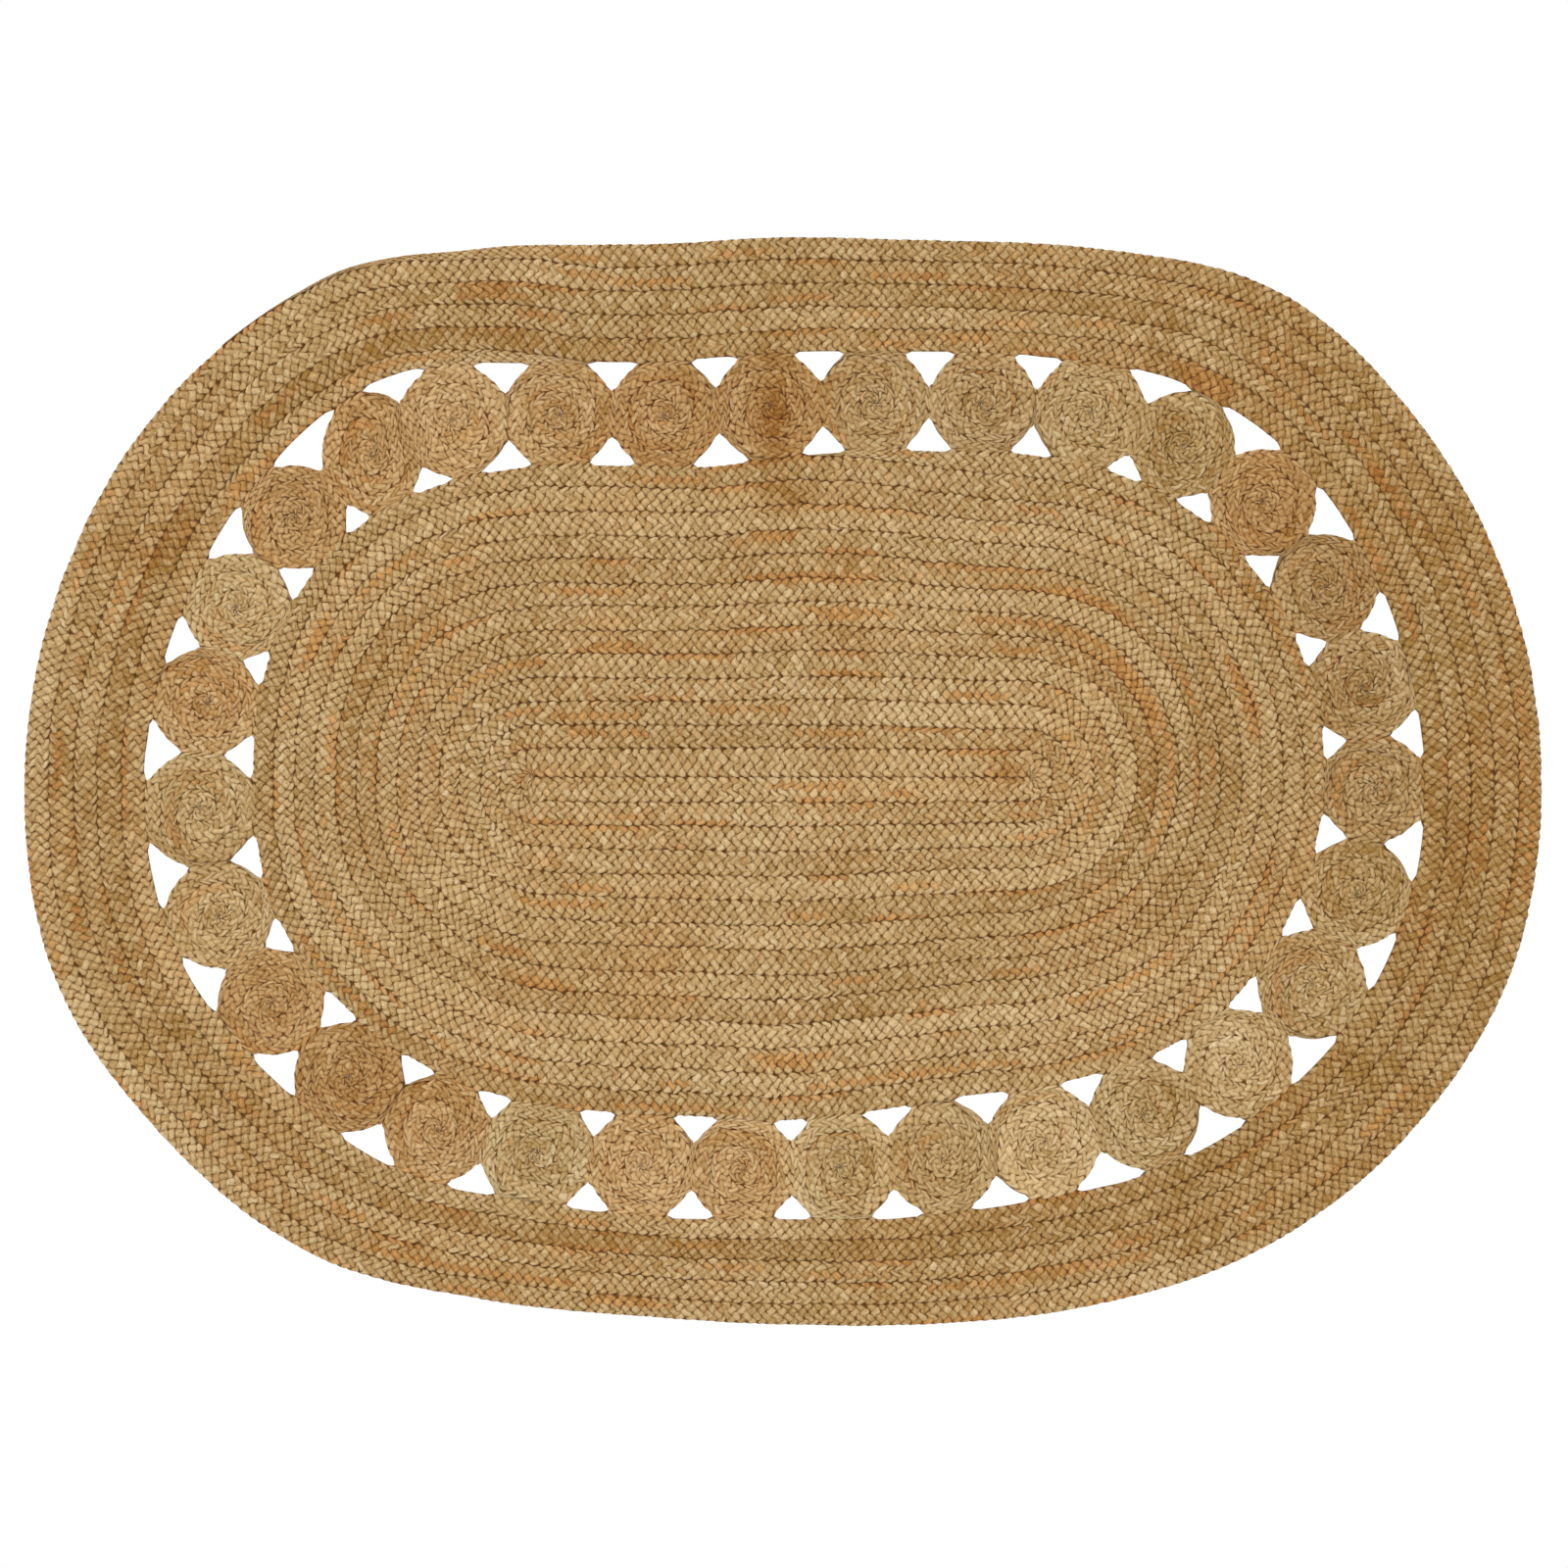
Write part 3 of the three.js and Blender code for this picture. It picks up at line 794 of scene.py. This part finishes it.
def crevice_group():
    """Painted shade between petals, 0 to 1: a narrow line where the place in the petal nears 1 along or
    across, roughened by the fibre and stronger where the mesh is hollow, and a pit where both near 1. Both
    are stronger or weaker by chance."""
    group = bpy.data.node_groups.new("Painted shade between petals", "ShaderNodeTree")
    nodes, links = group.nodes, group.links
    socket(group, "Place in petal", "Vector", "INPUT")
    for name in ("Fibre", "Hollow", "Chance", "Raggedness", "Line start", "Pit start", "Line depth"):
        socket(group, name, "Float", "INPUT")
    socket(group, "Crevice", "Float", "OUTPUT")
    start, end = nodes.new("NodeGroupInput"), nodes.new("NodeGroupOutput")
    parts = nodes.new("ShaderNodeSeparateXYZ")
    links.new(start.outputs["Place in petal"], parts.inputs[0])
    along, across = (math(nodes, links, "ABSOLUTE", parts.outputs[axis]) for axis in (0, 1))
    rough = math(nodes, links, "SUBTRACT", start.outputs["Fibre"], 0.5)
    rough = math(nodes, links, "MULTIPLY", rough, start.outputs["Raggedness"])
    line = math(nodes, links, "ADD", math(nodes, links, "MAXIMUM", along, across), rough)
    pit = math(nodes, links, "ADD", math(nodes, links, "ADD", along, across), rough)
    found = []
    for value, low, high in ((line, "Line start", 1.0), (pit, "Pit start", 2.0)):
        ramp = nodes.new("ShaderNodeMapRange")
        ramp.interpolation_type = "SMOOTHSTEP"
        ramp.inputs["From Max"].default_value = high
        links.new(value, ramp.inputs["Value"])
        links.new(start.outputs[low], ramp.inputs["From Min"])
        found.append(ramp.outputs["Result"])
    deep = math(nodes, links, "POWER", start.outputs["Hollow"], CREVICE_POWER)
    deep = math(nodes, links, "MULTIPLY", deep, start.outputs["Line depth"])
    dark = math(nodes, links, "MAXIMUM", math(nodes, links, "MULTIPLY", found[0], deep), found[1])
    chance = math(nodes, links, "MULTIPLY_ADD", start.outputs["Chance"], CHANCE_GAIN, CHANCE_SHIFT)
    dark = math(nodes, links, "MULTIPLY", dark, chance)
    dark.node.use_clamp = True
    links.new(dark, end.inputs["Crevice"])
    return group


def yarn_group():
    """Colour of undyed jute: between dark and bright by tone and fibre, and by a painted highlight on the
    crowns and painted shade in the hollows, tinted pale or rusty by the yarn's runs, and sunk to the colour
    of the painted shade by the crevices' painted shade and by a power of the hollow."""
    group = bpy.data.node_groups.new("Jute yarn", "ShaderNodeTree")
    nodes, links = group.nodes, group.links
    socket(group, "Yarn", "Color", "INPUT")
    for name in ("Hollow", "Crevice", "Fibre"):
        socket(group, name, "Float", "INPUT")
    for name in FROM_SHADE:
        socket(group, name, "Color", "INPUT")
    for name in YARN:
        socket(group, name, "Float", "INPUT")
    socket(group, "Color", "Color", "OUTPUT")
    socket(group, "Roughness", "Float", "OUTPUT")
    start, end = nodes.new("NodeGroupInput"), nodes.new("NodeGroupOutput")
    parts = nodes.new("ShaderNodeSeparateColor")
    links.new(start.outputs["Yarn"], parts.inputs[0])
    tone, rust, pale = parts.outputs
    by_tone = math(nodes, links, "SUBTRACT", tone, 0.5)
    by_tone = math(nodes, links, "MULTIPLY_ADD", by_tone, start.outputs["Tone contrast"], 0.5)
    by_fibre = math(nodes, links, "SUBTRACT", start.outputs["Fibre"], 0.5)
    by_fibre = math(nodes, links, "MULTIPLY_ADD", by_fibre, start.outputs["Fibre contrast"], by_tone)
    # Painted highlight on the petals' crowns and painted shade in their hollows, by how hollow the mesh lies
    crown = math(nodes, links, "SUBTRACT", CROWN_MIDDLE, start.outputs["Hollow"])
    light = math(nodes, links, "MULTIPLY_ADD", crown, start.outputs["Crown light and shade"], by_fibre)
    colour = mix(nodes, links, light, start.outputs["Dark"], start.outputs["Bright"])
    colour = mix(nodes, links, pale, colour, start.outputs["Pale"], "MULTIPLY")
    colour = mix(nodes, links, rust, colour, start.outputs["Rust"], "MULTIPLY")
    # Painted shade in the hollows, by a power of how hollow the mesh lies, and in the crevices
    hollow_shade = math(nodes, links, "POWER", start.outputs["Hollow"], HOLLOW_POWER)
    hollow_shade = math(nodes, links, "MULTIPLY", hollow_shade, start.outputs["Hollow shade depth"])
    sunk = math(nodes, links, "MAXIMUM", hollow_shade, start.outputs["Crevice"])
    links.new(mix(nodes, links, sunk, colour, start.outputs["Painted shade colour"]), end.inputs["Color"])
    rough = math(nodes, links, "MULTIPLY_ADD", start.outputs["Fibre"], FIBRE_ROUGHNESS, ROUGHNESS)
    links.new(math(nodes, links, "MULTIPLY_ADD", sunk, HOLLOW_ROUGHNESS, rough), end.inputs["Roughness"])
    return group


def jute_material(name, shade, braid, fibres, crevice_shade, yarn):
    """Matt jute in one shade, with its fibres raised as a fine bump."""
    material = bpy.data.materials.new(name)
    material.use_nodes = True
    nodes, links = material.node_tree.nodes, material.node_tree.links
    shader = nodes["Principled BSDF"]
    shader.inputs["Specular IOR Level"].default_value = SPECULAR
    shader.inputs["Sheen Weight"].default_value = SHEEN
    shader.inputs["Sheen Roughness"].default_value = SHEEN_ROUGHNESS
    strand = nodes.new("ShaderNodeUVMap")
    strand.uv_map = "strand"
    run = nodes.new("ShaderNodeAttribute")
    run.attribute_name = "yarn"
    hollow = nodes.new("ShaderNodeAttribute")
    hollow.attribute_name = "hollow"
    fibre = nodes.new("ShaderNodeGroup")
    fibre.node_tree = fibres
    fibre.inputs["Fibres per metre"].default_value = FIBRES_PER_METRE
    links.new(strand.outputs[0], fibre.inputs["Strand"])
    petal = nodes.new("ShaderNodeUVMap")
    petal.uv_map = "petal"
    # Painted shade in the crevices between petals, which also sinks them in the bump
    crevice = nodes.new("ShaderNodeGroup")
    crevice.node_tree = crevice_shade
    for key, value in CREVICES.items():
        crevice.inputs[key].default_value = value
    crevice.inputs["Line depth"].default_value = braid["crevice_shade"]
    here = nodes.new("ShaderNodeTexCoord")
    chance = nodes.new("ShaderNodeTexNoise")
    chance.inputs["Scale"].default_value = CHANCE_PER_METRE
    chance.inputs["Detail"].default_value = 3.0
    links.new(here.outputs["Object"], chance.inputs["Vector"])
    links.new(chance.outputs["Fac"], crevice.inputs["Chance"])
    links.new(petal.outputs[0], crevice.inputs["Place in petal"])
    links.new(fibre.outputs["Fibre"], crevice.inputs["Fibre"])
    links.new(hollow.outputs["Fac"], crevice.inputs["Hollow"])
    # The yarn's colour, with its painted highlight on crowns and painted shade in crevices and hollows
    colour = nodes.new("ShaderNodeGroup")
    colour.node_tree = yarn
    for key, change in FROM_SHADE.items():
        value = linear(np.add(shade, change))
        if key in ("Pale", "Rust"):
            value = np.divide(value, linear(shade))
        colour.inputs[key].default_value = value
    for key, value in YARN.items():
        colour.inputs[key].default_value = value
    links.new(run.outputs["Color"], colour.inputs["Yarn"])
    links.new(hollow.outputs["Fac"], colour.inputs["Hollow"])
    links.new(crevice.outputs["Crevice"], colour.inputs["Crevice"])
    links.new(fibre.outputs["Fibre"], colour.inputs["Fibre"])
    bump = nodes.new("ShaderNodeBump")
    bump.inputs["Distance"].default_value = BUMP_DEPTH
    bump.inputs["Strength"].default_value = BUMP_STRENGTH
    sunk = math(nodes, links, "SUBTRACT", fibre.outputs["Fibre"], crevice.outputs["Crevice"])
    links.new(sunk, bump.inputs["Height"])
    links.new(colour.outputs["Color"], shader.inputs["Base Color"])
    links.new(colour.outputs["Roughness"], shader.inputs["Roughness"])
    links.new(bump.outputs["Normal"], shader.inputs["Normal"])
    return material


groups = fibre_group(), crevice_group(), yarn_group()
materials = {
    name: jute_material(name, shade, WIDE if name == "wide_braid" else NARROW, *groups)
    for name, shade in SHADES.items()
}


# The rug

def add_coil(coil, node, slot, names):
    """Lays a coil as one piece for each name, in equal lengths, gives each its material, hangs it on the
    root, hides the frame's node and works out the floor that each covers."""
    pitch = 2 * coil.braid["rows"]
    cuts = [pitch * round(coil.half_steps * i / len(names) / pitch) for i in range(len(names))]
    for name, first, last in zip(names, cuts, cuts[1:] + [coil.half_steps]):
        piece = lay(name, coil, first, last)
        piece.data.materials.append(materials[slot])
        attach(piece, "root")
        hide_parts(node)
        area = plan_area(piece)


def press(outline, outwards, others):
    """An outline moved halfway to the others where it nearly touches them, and how firmly it is pressed
    there: 1 where the gap to the nearest of their points is snug, easing to 0 where it is open."""
    moved, firm = [], []
    for points, ways in zip(np.array_split(outline, STRETCHES), np.array_split(outwards, STRETCHES)):
        is_close = ((others > points.min(axis=0) - OPEN) & (others < points.max(axis=0) + OPEN)).all(axis=1)
        apart = points[:, None] - others[is_close]
        gap = np.hypot(apart[..., 0], apart[..., 1]).min(axis=1, initial=OPEN)
        share = 1 - smooth_step((gap - SNUG) / (OPEN - SNUG))
        moved.append(points + ways * (share * (gap / 2 + LAP))[:, None])
        firm.append(share)
    return np.concatenate(moved), np.concatenate(firm)


def disc_outlines():
    """Middle, spokes and rim of each disc in the frame, with its number, node and finish."""
    turns = np.linspace(0, 2 * np.pi, DISC_SAMPLES, endpoint=False)
    found = []
    for part in frame["record"]["subparts"]:
        if part["node"].startswith("disc"):
            corners = underside_rim(part["node"])
            middle = corners.mean(axis=0)
            number = int(part["node"].split("_")[1])
            spokes = heading(turns + number * DISC_TURN)
            rim = middle + meet(np.zeros_like(spokes), spokes, smooth_loop(corners - middle))
            found.append({"part": part, "number": number, "middle": middle, "spokes": spokes, "rim": rim})
    return found


def border_outlines(feet, directions):
    """Inner and outer curve of the border, whose corners in the frame stand in pairs at one bearing."""
    corners = underside_rim("border")
    bearings = np.round(np.arctan2(corners[:, 1], corners[:, 0]), BEARING_DIGITS)
    corners = corners[np.lexsort((np.hypot(*corners.T), bearings))].reshape(-1, 2, 2)
    return [meet(feet, directions, smooth_loop(corners[:, side])) for side in (0, 1)]


def add_centre(feet, directions, oval, disc_rims):
    """The oval centre, coiled about its straight first row and pressed against the discs."""
    pressed, firm = press(oval, directions, disc_rims)
    heart = feet + directions * HEART_GAP
    coil = Coil(WIDE, heart, pressed, (np.zeros(TURN_SAMPLES), firm), 0.0, CENTRE_SEED, **CENTRE_COIL)
    names = [f"centre_{part}_rounds" for part in ("inner", "middle", "outer")]
    add_coil(coil, "centre_oval", "wide_braid", names)


def add_border(directions, opening, rim, disc_rims):
    """The border, coiled outwards from the discs."""
    pressed, firm = press(opening, -directions, disc_rims)
    to_start = -round(BORDER_START * TURN_SAMPLES)
    inner, outer = np.roll(pressed, to_start, axis=0), np.roll(rim, to_start, axis=0)
    touching = np.roll(firm, to_start), np.zeros(TURN_SAMPLES)
    coil = Coil(WIDE, inner, outer, touching, BORDER_DARKER, BORDER_SEED, **BORDER_COIL)
    add_coil(coil, "border", "wide_braid", ["border_inner_rounds", "border_outer_rounds"])


def add_discs(discs, disc_rims, oval, opening):
    """The discs, each coiled about its middle and pressed against all that lies round it."""
    for disc in discs:
        is_other = np.repeat([other is not disc for other in discs], DISC_SAMPLES)
        neighbours = np.concatenate((disc_rims[is_other], oval, opening))
        pressed, firm = press(disc["rim"], disc["spokes"], neighbours)
        heart = disc["middle"] - disc["spokes"] * HEART_CROSSING
        coil = Coil(NARROW, heart, pressed, (firm, firm), 0.0, DISC_SEED + disc["number"], **DISC_COIL)
        node = disc["part"]["node"]
        add_coil(coil, node, disc["part"]["material_slot"], [node + "_coil"])


def add_rug():
    """All the pieces of the rug, between the outlines of the frame's nodes."""
    feet, directions = stadium(np.linspace(0, 1, TURN_SAMPLES, endpoint=False))
    oval = meet(feet, directions, smooth_loop(underside_rim("centre_oval")))
    opening, rim = border_outlines(feet, directions)
    discs = disc_outlines()
    disc_rims = np.concatenate([disc["rim"] for disc in discs])
    add_centre(feet, directions, oval, disc_rims)
    add_border(directions, opening, rim, disc_rims)
    add_discs(discs, disc_rims, oval, opening)


# Studio

def studio():
    """A floor that glows white, as a light table does, under even white light, with a soft lamp high on
    one side, and a camera straight above that frames the rug as the photograph does."""
    scene = bpy.context.scene
    scene.view_settings.view_transform = "Standard"
    bpy.ops.mesh.primitive_plane_add(size=FLOOR_SIDE, location=(0, 0, FLOOR_LEVEL))
    floor = bpy.context.object
    floor.name = "floor"
    paper = bpy.data.materials.new("paper")
    paper.use_nodes = True
    glow = paper.node_tree.nodes["Principled BSDF"].inputs
    glow["Base Color"].default_value = (0, 0, 0, 1)
    glow["Specular IOR Level"].default_value = 0
    glow["Emission Color"].default_value = (1, 1, 1, 1)
    glow["Emission Strength"].default_value = 1.0
    floor.data.materials.append(paper)
    world = bpy.data.worlds.new("sky")
    world.use_nodes = True
    world.node_tree.nodes["Background"].inputs["Color"].default_value = (1, 1, 1, 1)
    world.node_tree.nodes["Background"].inputs["Strength"].default_value = SKY
    scene.world = world
    lamp = bpy.data.objects.new("lamp", bpy.data.lights.new("lamp", "SUN"))
    lamp.data.energy = LAMP
    lamp.data.angle = np.radians(LAMP_ANGLE)
    lamp.rotation_euler = (np.radians(LAMP_TILT), 0, np.radians(LAMP_TURN))
    scene.collection.objects.link(lamp)
    camera = bpy.data.objects.new("camera", bpy.data.cameras.new("camera"))
    camera.data.lens = LENS
    camera.data.sensor_width = SENSOR
    camera.location = (*VIEW_MIDDLE, CROWN + VIEW_WIDTH * LENS / SENSOR)
    camera.data.clip_end = SIGHT
    scene.collection.objects.link(camera)
    scene.camera = camera


add_rug()
studio()
